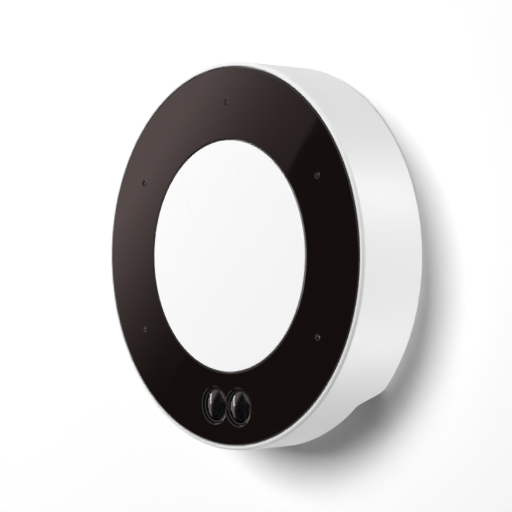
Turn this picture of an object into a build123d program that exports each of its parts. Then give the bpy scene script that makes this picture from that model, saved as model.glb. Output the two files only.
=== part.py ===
from build123d import *
from math import atan, cos, degrees, pi, radians, sin, sqrt
import os

# A round garage door controller that hangs on a wall by a twist-lock bracket. All lengths are millimetres.
# It is drawn lying on its back: z runs from the wall to the front, y is up and x is to the right.
# The last step stands it up, so that its front faces -Y and its origin is on the wall.

# Whole object
diameter = 130.0
depth = 27.0
fit_gap = 0.3
snug_gap = 0.15
overrun = 1.0

quarter_turn = 90

# Small round pieces and holes have this many sides, to keep them light
fine_sides = 20
small_sides = 12
tiny_sides = 8
pipe_sides = 6

# Housing: a round shell with a front plate and a lip round the face
housing_wall = 2.2
housing_rear_gap = 0.5
lip_width = 1.5
edge_round = 1.2
edge_round_steps = 2
plate_thickness = 1.8
rib_thickness = 1.2
rib_height = 1.5
rib_inner_radius = 10.0
rib_outer_share = 0.708
rib_angles = (0, 60, 120, 180, 240, 300)

# Front face: black ring, white disc, indicator windows and two warning lights
ring_thickness = 2.0
ring_bevel = 0.35
disc_share = 0.597
pipe_radius = 0.75
pipe_hole_radius = 0.9
pipe_recess = 0.25
pipe_flange_radius = 1.5
pipe_flange_thickness = 0.6
pipe_circle_share = 0.789
pipe_angles = (30, 90, 150, 210, 330)
hook_angles = (30, 150, 270)
hook_circle_share = 0.492
hook_width = 8.0
hook_thickness = 1.4
hook_barb = 0.9
hook_barb_height = 0.8
hook_tip = 0.9
eye_drop_share = 0.775
eye_pitch = 12.2
eye_opening_radius = 6.3
bezel_recess = 0.6
bezel_floor = 0.5
bezel_bore_radius = 4.5
lens_radius = 5.2
lens_edge_height = 0.5
lens_dome_height = 1.0
lens_bands = 3
cup_wall = 0.4
cup_foot_radius = 2.9

# Wall bracket: a plate with the bottom cut away for the cables, two screw holes and three twist-lock studs
bracket_share = 0.754
bracket_thickness = 3.0
bracket_cut_share = 0.308
bracket_corner_round = 6.0
bracket_rim = 2.5
bracket_pocket_depth = 1.2
bracket_pad_radius = 6.5
bracket_rib_width = 2.0
bracket_rib_angles = (0, 60, 120)
wall_screw_spacing = 60.0
wall_screw_hole_radius = 2.2
wall_screw_head_radius = 4.1
stud_circle_share = 0.677
stud_neck_width = 4.0
stud_head_width = 7.4
stud_length = 4.6
stud_head_thickness = 1.4
stud_angles = (90, 194, 346)
twist_angle = 12.0

# Rear cover: a plate with a deep cable bay, cups for its screws, twist slots and sound slots
cover_thickness = 1.8
cup_radius = 4.5
cup_recess_radius = 3.2
cup_recess_depth = 2.5
cup_floor = 1.6
bay_drop_share = 0.4
bay_wall = 1.8
bay_roof_thickness = 1.4
bay_corner_round = 5.0
bay_side_margin = 0.7
sound_slot_width = 1.5
sound_slot_pitch = 3.2
sound_slot_count = 5
sound_slot_margin = 2.0
sound_gap = 1.9

# Cable notch in the housing's wall
notch_half_angle = 45.0
notch_height = 7.1
notch_flare = 2.6
notch_inner_round = 3.5
notch_outer_round = 2.4

# Screws
screw_boss_radius = 3.2
screw_boss_inset = 1.6
cover_screw_angles = (90, 202, 338)
screw_shank_radius = 1.4
screw_pilot_radius = 1.5
screw_hole_radius = 1.8
screw_head_radius = 2.8
screw_head_height = 1.7
cover_screw_length = 9.0
board_boss_radius = 3.0
board_screw_length = 4.4
board_screw_place_shares = ((-0.235, 0.84), (-0.605, -0.20), (0.605, -0.20))

# Main board
board_thickness = 1.6
board_standoff = 3.3
board_edge_gap = 3.3
board_notch_gap = 0.4

# Pull-out screw terminals: a header on the board and a plug for the wires
pole_pitch = 3.81
pole_count = 6
header_wall = 1.0
header_height_share = 0.636
header_depth_share = 0.354
header_back = 2.2
socket_roof_gap = 0.1
pin_width = 1.0
pin_length = 5.5
plug_length = 9.0
plug_drop = 1.0
plug_edge_chamfer = 0.4
plug_groove_width = 0.8
plug_groove_depth = 0.3
pin_socket_width = 1.5
entry_width = 2.9
entry_height_share = 0.604
entry_depth = 7.2
clamp_length = 4.0
clamp_wall = 0.8
clamp_side_wall = 0.4
terminal_screw_radius = 1.35
terminal_screw_head_share = 0.161
terminal_screw_shank_radius = 0.8
terminal_screw_shank_share = 0.533
terminal_well_share = 0.195

# Row of connectors along the top of the bay: its gaps are shares of the width that the connectors leave free
row_start_share = 0.44
connector_spacing_share = 0.0824

# Power inlet
jack_width = 9.0
jack_depth = 14.4
jack_height_share = 0.864
jack_axis_share = 0.614
jack_bore_share = 0.2763
jack_bore_depth = 10.0
jack_pin_radius = 1.0
jack_pin_length = 9.2
jack_edge_chamfer = 0.5

# Reset button and its switch
button_radius = 2.0
button_hole_gap = 0.2
button_proud = 0.8
button_flange_radius = 2.8
button_flange_thickness = 0.8
button_axis_height = 4.0
plunger_radius = 1.5
plunger_length = 1.8
switch_width = 6.0
switch_depth = 4.0
switch_height = 7.0
switch_gap = 1.2
switch_bore_depth = 2.0
switch_bore_gap = 0.1

# Parts on the board: sizes along x and y are shares of the board's radius, and how far each stands off the board
# is a share of the room behind it
chip_chamfer = 0.2
relay_shares = (0.1765, 0.2622, 0.758)
relay_place_shares = ((-0.60, 0.0), (-0.38, 0.0), (-0.16, 0.0))
relay_chamfer = 0.6
driver_shares = (0.0504, 0.0269, 0.083)
driver_place_shares = ((-0.60, 0.19), (-0.38, 0.19), (-0.16, 0.19))
optocoupler_shares = (0.0773, 0.1092, 0.273)
optocoupler_place_shares = ((0.03, -0.19), (0.14, -0.19), (0.25, -0.19))
processor_shares = (0.2353, 0.2353, 0.106)
processor_place_share = (0.10, 0.12)
memory_shares = (0.1345, 0.1008, 0.076)
memory_place_shares = ((0.10, 0.33), (0.27, 0.33))
fuse_shares = (0.126, 0.0756, 0.152)
fuse_place_share = (0.44, -0.10)
inductor_shares = (0.168, 0.168, 0.341)
inductor_place_share = (0.36, 0.14)
inductor_corner_round = 2.2
regulator_shares = (0.084, 0.0672, 0.121)
regulator_place_share = (0.33, -0.02)
capacitor_shares = (0.1345, 0.1345, 0.795)
capacitor_base_height = 1.2
capacitor_place_shares = ((0.56, 0.12), (0.70, 0.0))
sounder_share = 0.185
sounder_port_radius = 1.6
sounder_port_depth = 3.0
sounder_place_share = (0.49, 0.52)
radio_shares = (0.3025, 0.4286, 0.0606)
radio_place_share = (-0.48, 0.50)
shield_shares = (0.2622, 0.2941, 0.182)
shield_chamfer = 0.4
shield_drop_share = 0.0504
sensor_radio_shares = (0.3361, 0.2185, 0.0606)
sensor_radio_chip_shares = (0.1008, 0.1008, 0.076)
sensor_radio_place_share = (0.0, 0.62)
indicator_led_width = 1.6
indicator_led_height = 0.8
alarm_led_width = 3.4
alarm_led_height = 1.4

# Heights and radii that follow from the sizes above
body_radius = diameter / 2
inner_radius = body_radius - housing_wall
lip_inner_radius = body_radius - lip_width
ring_outer_radius = lip_inner_radius - fit_gap
disc_radius = body_radius * disc_share
ring_inner_radius = disc_radius + fit_gap
pipe_circle_radius = body_radius * pipe_circle_share
hook_circle_radius = body_radius * hook_circle_share
rib_outer_radius = body_radius * rib_outer_share
eye_drop = body_radius * eye_drop_share
ring_rear = depth - ring_thickness
plate_rear = ring_rear - plate_thickness
board_front = plate_rear - board_standoff
board_rear = board_front - board_thickness
board_radius = inner_radius - board_edge_gap
bracket_radius = body_radius * bracket_share
bracket_cut_drop = body_radius * bracket_cut_share
stud_circle_radius = body_radius * stud_circle_share
cover_outer = bracket_thickness + fit_gap
cover_inner = cover_outer + cover_thickness
cover_radius = inner_radius - fit_gap
cup_end = cover_outer + cup_recess_depth + cup_floor
boss_circle_radius = inner_radius - screw_boss_radius - screw_boss_inset
board_room = board_rear - cover_inner
bay_drop = body_radius * bay_drop_share
bay_roof_top = board_rear - fit_gap
bay_roof = bay_roof_top - bay_roof_thickness
bay_half_width = inner_radius * sin(radians(notch_half_angle)) + bay_side_margin
notch_top = housing_rear_gap + notch_height
sounder_height = board_room - sound_gap
sounder_radius = board_radius * sounder_share

header_width = pole_count * pole_pitch + 2 * header_wall
header_low = board_rear - board_room * header_height_share
socket_low = header_low + header_wall
socket_high = bay_roof - socket_roof_gap
header_top = bay_drop * header_depth_share - bay_drop
socket_floor = header_top - header_back
pin_height = (socket_low + socket_high) / 2
plug_low = header_low - plug_drop
plug_high = socket_high - snug_gap
plug_shoulder = -bay_drop - snug_gap
plug_end = plug_shoulder - plug_length
entry_height = (plug_high - plug_low) * entry_height_share
terminal_well_depth = (plug_high - plug_low) * terminal_well_share
terminal_screw_head = (plug_high - plug_low) * terminal_screw_head_share
terminal_screw_shank = entry_height * terminal_screw_shank_share

jack_height = board_room * jack_height_share
jack_bore_radius = jack_height * jack_bore_share
jack_z = board_rear - jack_height * jack_axis_share
row_free_width = 2 * (bay_half_width - header_width) - jack_width - switch_width
connector_spacing = row_free_width * connector_spacing_share
relay_header_x = row_free_width * row_start_share + header_width / 2 - bay_half_width
sensor_header_x = relay_header_x + header_width + connector_spacing
jack_x = sensor_header_x + header_width / 2 + connector_spacing + jack_width / 2
button_x = jack_x + jack_width / 2 + 2 * connector_spacing + switch_width / 2
button_z = board_rear - button_axis_height

CENTRED_UP = (Align.CENTER, Align.CENTER, Align.MIN)


# Building blocks

def rod(radius, low, high, at=(0, 0), sides=None):
    """A bar along z: truly round, or with a number of sides."""
    if sides:
        return Pos(at[0], at[1], low) * extrude(RegularPolygon(radius, sides), high - low)
    return Pos(at[0], at[1], low) * Cylinder(radius, high - low, align=CENTRED_UP)


def rod_along_y(radius, low, high, x, z, sides=None):
    """A bar along y."""
    return Pos(x, low, z) * Rot(-quarter_turn, 0, 0) * rod(radius, 0, high - low, sides=sides)


def block(width, height, low, high, at=(0, 0)):
    """A box centred at a place, between two heights."""
    return Pos(at[0], at[1], low) * Box(width, height, high - low, align=CENTRED_UP)


def span(x_low, x_high, y_low, y_high, z_low, z_high):
    """A box between its lowest and highest corners."""
    box = Box(x_high - x_low, y_high - y_low, z_high - z_low, align=(Align.MIN, Align.MIN, Align.MIN))
    return Pos(x_low, y_low, z_low) * box


def slab(sketch, low, high):
    """A flat sketch given its thickness."""
    return Pos(0, 0, low) * extrude(sketch, high - low)


def turned(points):
    """A solid turned about z from (radius, height) points."""
    return revolve(Plane.XZ * Polygon(*points), Axis.Z)


def sector(inner, outer, start, end):
    """A piece of a flat ring between two radii and two angles."""
    far = CenterArc((0, 0), outer, start, end - start)
    near = CenterArc((0, 0), inner, start, end - start)
    return make_face([far, Line(far @ 1, near @ 1), near, Line(near @ 0, far @ 0)])


def tapered(wide_radius, narrow_radius, wide_end, narrow_end, sides):
    """A many-sided bar that narrows from its wide end, upwards or downwards."""
    length = abs(narrow_end - wide_end)
    slope = (wide_radius - narrow_radius) * cos(pi / sides) / length
    bar = extrude(RegularPolygon(wide_radius, sides), length, taper=degrees(atan(slope)))
    return Pos(0, 0, wide_end) * (bar if narrow_end > wide_end else Rot(2 * quarter_turn, 0, 0) * bar)


def polar(radius, angle):
    """The place at a radius and an angle."""
    return radius * cos(radians(angle)), radius * sin(radians(angle))


def board_place(shares):
    """A place on the board, given as shares of its radius."""
    return shares[0] * board_radius, shares[1] * board_radius


def board_size(shares):
    """A part's width, height and how far it stands off the board, given as shares."""
    return shares[0] * board_radius, shares[1] * board_radius, shares[2] * board_room


def edges_at(shape, height):
    """The edges of a shape that lie flat at one height."""
    return shape.edges().filter_by(lambda edge: edge.bounding_box().size.Z < snug_gap
                                   and abs(edge.center().Z - height) < snug_gap)


def eye_places():
    """The centres of the two warning lights."""
    return [(-eye_pitch / 2, -eye_drop), (eye_pitch / 2, -eye_drop)]


def eye_outline(radius):
    """The figure of eight round the two warning lights."""
    return Sketch() + [Pos(x, y) * RegularPolygon(radius, fine_sides) for x, y in eye_places()]


def cover_screw_places():
    """The centres of the rear cover's screws."""
    return [polar(boss_circle_radius, angle) for angle in cover_screw_angles]


def board_screw_places():
    """The centres of the board's screws."""
    return [board_place(shares) for shares in board_screw_place_shares]


# Housing

def rounded_edge(radius, height, size, steps):
    """Points of a quarter circle that rounds an outer edge, from the side to the top."""
    angles = [quarter_turn * step / steps for step in range(steps + 1)]
    return [(radius - size + size * cos(radians(a)), height - size + size * sin(radians(a))) for a in angles]


def housing_shell():
    """The wall, lip and front plate, turned in one profile."""
    return turned([
        (inner_radius, housing_rear_gap),
        (body_radius, housing_rear_gap),
        *rounded_edge(body_radius, depth, edge_round, edge_round_steps),
        (lip_inner_radius, depth),
        (lip_inner_radius, ring_rear),
        (0, ring_rear),
        (0, plate_rear),
        (inner_radius, plate_rear),
    ])


def housing_bosses():
    """Long bosses for the rear cover, tied to the wall, and short ones for the board."""
    parts = []
    for angle in cover_screw_angles:
        tie_end = inner_radius + snug_gap
        tie = span(boss_circle_radius, tie_end, -rib_thickness / 2, rib_thickness / 2, cup_end, plate_rear + snug_gap)
        place = polar(boss_circle_radius, angle)
        parts.append(Rot(0, 0, angle) * tie)
        parts.append(rod(screw_boss_radius, cup_end, plate_rear + snug_gap, place, small_sides))
    for place in board_screw_places():
        parts.append(rod(board_boss_radius, board_front, plate_rear + snug_gap, place, small_sides))
    return parts


def housing_ribs():
    """Spokes that stiffen the front plate."""
    low = plate_rear - rib_height
    spoke = span(rib_inner_radius, rib_outer_radius, -rib_thickness / 2, rib_thickness / 2, low, plate_rear + snug_gap)
    return [Rot(0, 0, angle) * spoke for angle in rib_angles]


def hook_slot(angle):
    """The slot in the front plate that one of the disc's hooks snaps through."""
    inner = hook_circle_radius - hook_thickness / 2 - snug_gap
    outer = hook_circle_radius + hook_thickness / 2 + hook_barb + snug_gap
    half = hook_width / 2 + fit_gap
    return Rot(0, 0, angle) * span(inner, outer, -half, half, plate_rear - rib_height - overrun, ring_rear + overrun)


def cable_notch():
    """The cut in the rear edge of the wall, at the bottom, where the cables leave."""
    half = body_radius * sin(radians(notch_half_angle))
    flared = half + notch_flare
    low = housing_rear_gap
    points = [
        (-flared, low - overrun),
        (flared, low - overrun),
        (flared, low),
        (half, low + notch_flare),
        (half, notch_top),
        (-half, notch_top),
        (-half, low + notch_flare),
        (-flared, low),
    ]
    outline = Polygon(*points)
    for side in (-1, 1):
        corner = outline.vertices().sort_by_distance((side * half, notch_top))[0]
        outline = fillet(corner, notch_inner_round)
        corner = outline.vertices().sort_by_distance((side * half, low + notch_flare))[0]
        outline = fillet(corner, notch_outer_round)
    return extrude(Plane.XZ * outline, body_radius + overrun)


def housing():
    """The round white shell."""
    shape = housing_shell() + housing_bosses() + housing_ribs()
    cuts = [hook_slot(angle) for angle in hook_angles]
    for angle in pipe_angles:
        place = polar(pipe_circle_radius, angle)
        cuts.append(rod(pipe_hole_radius, plate_rear - overrun, ring_rear + overrun, place, pipe_sides))
    for place in eye_places():
        cuts.append(rod(bezel_bore_radius + fit_gap, plate_rear - overrun, ring_rear + overrun, place, fine_sides))
    for place in cover_screw_places():
        pilot_top = cup_end + cover_screw_length
        cuts.append(rod(screw_pilot_radius, cup_end - overrun, pilot_top, place, tiny_sides))
    for place in board_screw_places():
        pilot_top = board_rear + board_screw_length + snug_gap
        cuts.append(rod(screw_pilot_radius, board_front - overrun, pilot_top, place, tiny_sides))
    cuts.append(cable_notch())
    return shape - cuts


# Front face

def bezel_ring():
    """The flat black ring, bevelled at its outer edge, with the indicator holes and the warning lights' opening."""
    ring = turned([
        (ring_inner_radius, ring_rear),
        (ring_outer_radius, ring_rear),
        (ring_outer_radius, depth - ring_bevel),
        (ring_outer_radius - ring_bevel, depth),
        (ring_inner_radius, depth),
    ])
    for angle in pipe_angles:
        place = polar(pipe_circle_radius, angle)
        ring -= rod(pipe_hole_radius, ring_rear - overrun, depth + overrun, place, pipe_sides)
    return ring - slab(eye_outline(eye_opening_radius), ring_rear - overrun, depth + overrun)


def disc_hook(angle):
    """A snap hook on the disc's rear, with its barb behind the front plate."""
    tip = plate_rear - snug_gap - hook_barb_height - hook_tip
    barb_top = plate_rear - snug_gap
    inner = hook_circle_radius - hook_thickness / 2
    outer = hook_circle_radius + hook_thickness / 2
    outline = Polygon(
        (inner, ring_rear + snug_gap),
        (inner, tip),
        (outer, tip),
        (outer + hook_barb, barb_top - hook_barb_height),
        (outer + hook_barb, barb_top),
        (outer, barb_top),
        (outer, ring_rear + snug_gap),
    )
    return Rot(0, 0, angle) * Pos(0, hook_width / 2, 0) * extrude(Plane.XZ * outline, hook_width)


def centre_disc():
    """The white cap in the middle, with three hooks behind it."""
    return rod(disc_radius, ring_rear, depth) + [disc_hook(angle) for angle in hook_angles]


def eye_bezel():
    """The black figure of eight that holds both lenses."""
    top = depth - bezel_recess
    frame = slab(eye_outline(eye_opening_radius - snug_gap), ring_rear, top)
    for place in eye_places():
        frame -= rod(bezel_bore_radius, ring_rear - overrun, top + overrun, place, fine_sides)
        frame -= rod(lens_radius + snug_gap, ring_rear + bezel_floor, top + overrun, place, fine_sides)
    return frame


def alarm_lens(place):
    """A clear lens: a short straight edge under a low dome, whose bands follow a sphere."""
    base = ring_rear + bezel_floor
    crown = base + lens_edge_height
    sphere_radius = (lens_radius ** 2 + lens_dome_height ** 2) / (2 * lens_dome_height)
    centre = crown + lens_dome_height - sphere_radius
    heights = [crown + lens_dome_height * (1 - (1 - band / lens_bands) ** 2) for band in range(lens_bands)]
    radii = [sqrt(sphere_radius ** 2 - (height - centre) ** 2) for height in heights]
    lens = rod(lens_radius, base, crown, sides=fine_sides)
    for band in range(lens_bands - 1):
        lens += tapered(radii[band], radii[band + 1], heights[band], heights[band + 1], fine_sides)
    return Pos(place[0], place[1], 0) * lens


def alarm_reflector(place):
    """A faceted cup that widens from the light to the lens, stood on the board."""
    top = ring_rear + bezel_floor - snug_gap
    top_radius = bezel_bore_radius - snug_gap
    outside = tapered(top_radius, cup_foot_radius, top, board_front, small_sides)
    inside = tapered(top_radius - cup_wall, cup_foot_radius - cup_wall, top, board_front, small_sides)
    return Pos(place[0], place[1], 0) * (outside - inside)


def alarm_led(place):
    """A square light source."""
    return block(alarm_led_width, alarm_led_width, board_front, board_front + alarm_led_height, place)


def light_pipe(angle):
    """A clear rod from an indicator light to its window, with a flange under the front plate."""
    place = polar(pipe_circle_radius, angle)
    foot = board_front + indicator_led_height + snug_gap
    stem = rod(pipe_radius, foot, depth - pipe_recess, place, pipe_sides)
    return stem + rod(pipe_flange_radius, plate_rear - pipe_flange_thickness, plate_rear, place, pipe_sides)


def indicator_led(angle):
    """A small light source on the front of the board."""
    place = polar(pipe_circle_radius, angle)
    return block(indicator_led_width, indicator_led_width, board_front, board_front + indicator_led_height, place)


# Board and what stands on it

def main_board():
    """A round board with notches for the long bosses and holes for its screws."""
    board = Circle(board_radius)
    for place in cover_screw_places():
        board -= Pos(*place) * RegularPolygon(screw_boss_radius + board_notch_gap, small_sides)
    for place in board_screw_places():
        board -= Pos(*place) * RegularPolygon(screw_hole_radius, small_sides)
    return slab(board, board_rear, board_front)


def chip(size_shares, place_shares):
    """A block on the rear of the board, bevelled round its top."""
    width, height, thickness = board_size(size_shares)
    low = board_rear - thickness
    body = block(width, height, low, board_rear, board_place(place_shares))
    return chamfer(edges_at(body, low), chip_chamfer)


def relay(place_shares):
    """A sealed relay with bevelled upright corners."""
    width, height, thickness = board_size(relay_shares)
    body = block(width, height, board_rear - thickness, board_rear, board_place(place_shares))
    return chamfer(body.edges().filter_by(Axis.Z), relay_chamfer)


def inductor():
    """A moulded coil with cut corners."""
    width, height, thickness = board_size(inductor_shares)
    body = block(width, height, board_rear - thickness, board_rear, board_place(inductor_place_share))
    return chamfer(body.edges().filter_by(Axis.Z), inductor_corner_round)


def capacitor(place_shares):
    """A round can on a square base."""
    place = board_place(place_shares)
    width, height, thickness = board_size(capacitor_shares)
    base_low = board_rear - capacitor_base_height
    can = rod(width / 2, board_rear - thickness, base_low, place, fine_sides)
    return can + block(width, height, base_low, board_rear, place)


def alarm_sounder():
    """A round sounder with its port towards the rear cover."""
    place = board_place(sounder_place_share)
    low = board_rear - sounder_height
    body = rod(sounder_radius, low, board_rear, place, fine_sides)
    return body - rod(sounder_port_radius, low - overrun, low + sounder_port_depth, place, small_sides)


def radio_board():
    """The small board of the network radio."""
    width, height, thickness = board_size(radio_shares)
    return block(width, height, board_rear - thickness, board_rear, board_place(radio_place_share))


def radio_shield():
    """The metal can on the network radio."""
    x, y = board_place(radio_place_share)
    width, height, thickness = board_size(shield_shares)
    seat = board_rear - board_size(radio_shares)[2]
    can = block(width, height, seat - thickness, seat, (x, y - board_radius * shield_drop_share))
    return chamfer(edges_at(can, seat - thickness), shield_chamfer)


def sensor_radio():
    """The door sensor's receiver: a board with one chip."""
    place = board_place(sensor_radio_place_share)
    width, height, thickness = board_size(sensor_radio_shares)
    chip_width, chip_height, chip_thickness = board_size(sensor_radio_chip_shares)
    seat = board_rear - thickness
    board = block(width, height, seat, board_rear, place)
    return board + block(chip_width, chip_height, seat - chip_thickness, seat + snug_gap, place)


# Terminals

def pole_places(x):
    """The middles of a terminal's poles."""
    first = x - (pole_count - 1) * pole_pitch / 2
    return [first + index * pole_pitch for index in range(pole_count)]


def terminal_header(x):
    """The board half of a terminal: a box with its mouth towards the bay."""
    half = header_width / 2
    body = span(x - half, x + half, -bay_drop, header_top, header_low, board_rear)
    inner = half - header_wall
    return body - span(x - inner, x + inner, -bay_drop - overrun, socket_floor, socket_low, socket_high)


def header_pins(x):
    """The contact pins inside a header."""
    half = pin_width / 2
    low = socket_floor - pin_length
    return [span(pole - half, pole + half, low, socket_floor, pin_height - half, pin_height + half)
            for pole in pole_places(x)]


def terminal_plug(x):
    """The pull-out half of a terminal: a body for the wires and a tongue that enters the header."""
    half = header_width / 2
    body = span(x - half, x + half, plug_end, plug_shoulder, plug_low, plug_high)
    body = chamfer(body.edges().filter_by(Axis.X).group_by(Axis.Y)[0], plug_edge_chamfer)
    tongue_half = half - header_wall - snug_gap
    tongue_end = socket_floor - fit_gap
    plug = body + span(x - tongue_half, x + tongue_half, plug_shoulder - overrun, tongue_end,
                       socket_low + snug_gap, plug_high)
    entry_low = plug_low + terminal_well_depth
    wire_half = entry_width / 2
    pin_half = pin_socket_width / 2
    well_half = terminal_screw_radius + snug_gap / 2
    middle = clamp_middle()
    cuts = []
    for pole in pole_places(x):
        cuts.append(span(pole - wire_half, pole + wire_half, plug_end - overrun, plug_end + entry_depth,
                         entry_low, entry_low + entry_height))
        cuts.append(span(pole - pin_half, pole + pin_half, plug_end + entry_depth - overrun, tongue_end + overrun,
                         pin_height - pin_half, pin_height + pin_half))
        cuts.append(span(pole - well_half, pole + well_half, middle - well_half, middle + well_half,
                         plug_low - overrun, entry_low + snug_gap))
    for pole in pole_places(x)[:-1]:
        groove_x = pole + pole_pitch / 2
        cuts.append(span(groove_x - plug_groove_width / 2, groove_x + plug_groove_width / 2,
                         plug_end + plug_edge_chamfer, plug_shoulder - plug_groove_width,
                         plug_low - overrun, plug_low + plug_groove_depth))
    return plug - cuts


def clamp_middle():
    """How high along the bay the wire clamps and their screws sit."""
    return plug_end + entry_depth - snug_gap - clamp_length / 2


def plug_clamps(x):
    """The wire clamps: open frames, each slotted for its screw."""
    low = plug_low + terminal_well_depth + snug_gap / 2
    high = low + entry_height - snug_gap
    half = (entry_width - snug_gap) / 2
    middle = clamp_middle()
    slot = 2 * (terminal_screw_shank_radius + snug_gap)
    clamps = []
    for pole in pole_places(x):
        frame = block(2 * half, clamp_length, low, high, (pole, middle))
        frame -= block(2 * (half - clamp_side_wall), clamp_length + overrun, low + clamp_wall,
                       high - clamp_wall, (pole, middle))
        frame -= block(slot, slot, low - overrun, low + clamp_wall + snug_gap, (pole, middle))
        clamps.append(frame)
    return clamps


def plug_screws(x):
    """The clamp screws: a head in its well and a shank into the clamp."""
    head_high = plug_low + terminal_well_depth
    screws = []
    for pole in pole_places(x):
        place = (pole, clamp_middle())
        head = rod(terminal_screw_radius, head_high - terminal_screw_head, head_high, place, tiny_sides)
        shank_high = head_high + terminal_screw_shank
        shank_half = terminal_screw_shank_radius
        screws.append(head + block(2 * shank_half, 2 * shank_half, head_high, shank_high, place))
    return screws


# Power inlet and reset

def power_jack():
    """The inlet's block, with its bore towards the bay."""
    half = jack_width / 2
    top = jack_depth - bay_drop
    body = span(jack_x - half, jack_x + half, -bay_drop, top, board_rear - jack_height, board_rear)
    body = chamfer(body.edges().filter_by(Axis.Y).group_by(Axis.Z)[0], jack_edge_chamfer)
    return body - rod_along_y(jack_bore_radius, -bay_drop - overrun, jack_bore_depth - bay_drop, jack_x, jack_z)


def power_jack_pin():
    """The inlet's centre pin."""
    floor = jack_bore_depth - bay_drop
    return rod_along_y(jack_pin_radius, floor - jack_pin_length, floor, jack_x, jack_z)


def reset_button():
    """A small cap through the bay's top wall, held by a flange behind it."""
    tip = -bay_drop - button_proud
    flange_low = button_rear() - button_flange_thickness
    cap = rod_along_y(button_radius, tip, button_rear(), button_x, button_z, fine_sides)
    return cap + rod_along_y(button_flange_radius, flange_low, button_rear(), button_x, button_z, small_sides)


def button_rear():
    """Where the button's flange ends and the plunger starts."""
    return bay_wall - bay_drop + snug_gap + button_flange_thickness


def reset_plunger():
    """The switch's plunger, pushed by the button."""
    return rod_along_y(plunger_radius, button_rear(), button_rear() + plunger_length, button_x, button_z, small_sides)


def reset_switch():
    """The switch body, with a bore for its plunger."""
    face = button_rear() + switch_gap
    half = switch_width / 2
    body = span(button_x - half, button_x + half, face, face + switch_depth,
                board_rear - switch_height, board_rear)
    return body - rod_along_y(plunger_radius + switch_bore_gap, face - overrun, face + switch_bore_depth,
                              button_x, button_z, small_sides)


# Rear cover

def bay_outline(half_width, top_drop, corner, radius):
    """The bay seen from the wall: a wide U with rounded upper corners, inside a circle."""
    height = radius - top_drop + overrun
    outline = Pos(0, -top_drop - height / 2) * Rectangle(2 * half_width, height)
    upper = outline.vertices().group_by(Axis.Y)[-1]
    return fillet(upper, corner) & Circle(radius)


def twist_slot(angle):
    """A keyed slot: a wide hole where a stud's head enters and a narrow arc that it turns into."""
    half = stud_half_angle() + degrees(fit_gap / stud_circle_radius)
    start = angle - twist_angle / 2 - half
    head_half = stud_head_width / 2 + fit_gap
    neck_half = stud_neck_width / 2 + fit_gap
    entry = sector(stud_circle_radius - head_half, stud_circle_radius + head_half, start, start + 2 * half)
    run_end = start + 2 * half + twist_angle
    run = sector(stud_circle_radius - neck_half, stud_circle_radius + neck_half, start, run_end)
    return slab(entry + run, cover_outer - overrun, cover_inner + overrun)


def sound_slots():
    """A row of slots over the sounder, as long as the circle over it allows."""
    x, y = board_place(sounder_place_share)
    radius = sounder_radius - sound_slot_margin
    slots = []
    for row in range(sound_slot_count):
        shift = (row - (sound_slot_count - 1) / 2) * sound_slot_pitch
        slots.append(Pos(x, y + shift) * Rectangle(2 * sqrt(radius ** 2 - shift ** 2), sound_slot_width))
    return slab(Sketch() + slots, cover_outer - overrun, cover_inner + overrun)


def bay_window(x, width, low):
    """The window in the bay's top wall that a connector looks through."""
    half = width / 2 + fit_gap
    return span(x - half, x + half, -bay_drop, bay_wall - bay_drop + overrun, low - fit_gap, bay_roof_top + overrun)


def rear_cover():
    """The cover plate with its cable bay, windows, cups and slots."""
    outer_bay = bay_outline(bay_half_width + bay_wall, bay_drop - bay_wall, bay_corner_round, cover_radius)
    cover = rod(cover_radius, cover_outer, cover_inner) + slab(outer_bay, cover_outer, bay_roof_top)
    for place in cover_screw_places():
        cover += rod(cup_radius, cover_outer, cup_end, place, small_sides)
    inner_bay = bay_outline(bay_half_width, bay_drop, bay_corner_round - bay_wall, body_radius)
    cuts = [slab(inner_bay, cover_outer - overrun, bay_roof)]
    recess_floor = cover_outer + cup_recess_depth
    for place in cover_screw_places():
        cuts.append(rod(cup_recess_radius, cover_outer - overrun, recess_floor, place, small_sides))
        cuts.append(rod(screw_hole_radius, recess_floor - overrun, cup_end + overrun, place, small_sides))
    cuts += [twist_slot(angle) for angle in stud_angles]
    cuts += [bay_window(x, header_width, header_low) for x in (relay_header_x, sensor_header_x)]
    cuts.append(bay_window(jack_x, jack_width, board_rear - jack_height))
    cuts.append(rod_along_y(button_radius + button_hole_gap, -bay_drop - overrun, bay_wall - bay_drop + overrun,
                            button_x, button_z, fine_sides))
    cuts.append(sound_slots())
    return cover - cuts


# Screws and bracket

def pan_screw(place, head_low, shank_high):
    """A flat-headed screw, its head towards the wall."""
    head_high = head_low + screw_head_height
    head = rod(screw_head_radius, head_low, head_high, place, small_sides)
    return head + rod(screw_shank_radius, head_high - snug_gap, shank_high, place, tiny_sides)


def cover_screws():
    """The screws that hold the rear cover to the long bosses."""
    head_low = cover_outer + cup_recess_depth - screw_head_height
    return [pan_screw(place, head_low, cup_end + cover_screw_length - overrun) for place in cover_screw_places()]


def board_screws():
    """The screws that hold the board to the short bosses."""
    head_low = board_rear - screw_head_height
    return [pan_screw(place, head_low, board_rear + board_screw_length) for place in board_screw_places()]


def wall_screw_places():
    """The centres of the two wall screws."""
    return [(-wall_screw_spacing / 2, 0), (wall_screw_spacing / 2, 0)]


def stud_half_angle():
    """Half the angle that a stud takes on its circle."""
    return degrees(stud_length / 2 / stud_circle_radius)


def bracket_outline(inset):
    """A circle cut straight at the bottom, with the two corners rounded."""
    radius = bracket_radius - inset
    cut = bracket_cut_drop - inset
    below = Pos(0, -cut - radius / 2) * Rectangle(2 * radius + overrun, radius)
    outline = Circle(radius) - below
    return fillet(outline.vertices(), bracket_corner_round - inset)


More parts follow.
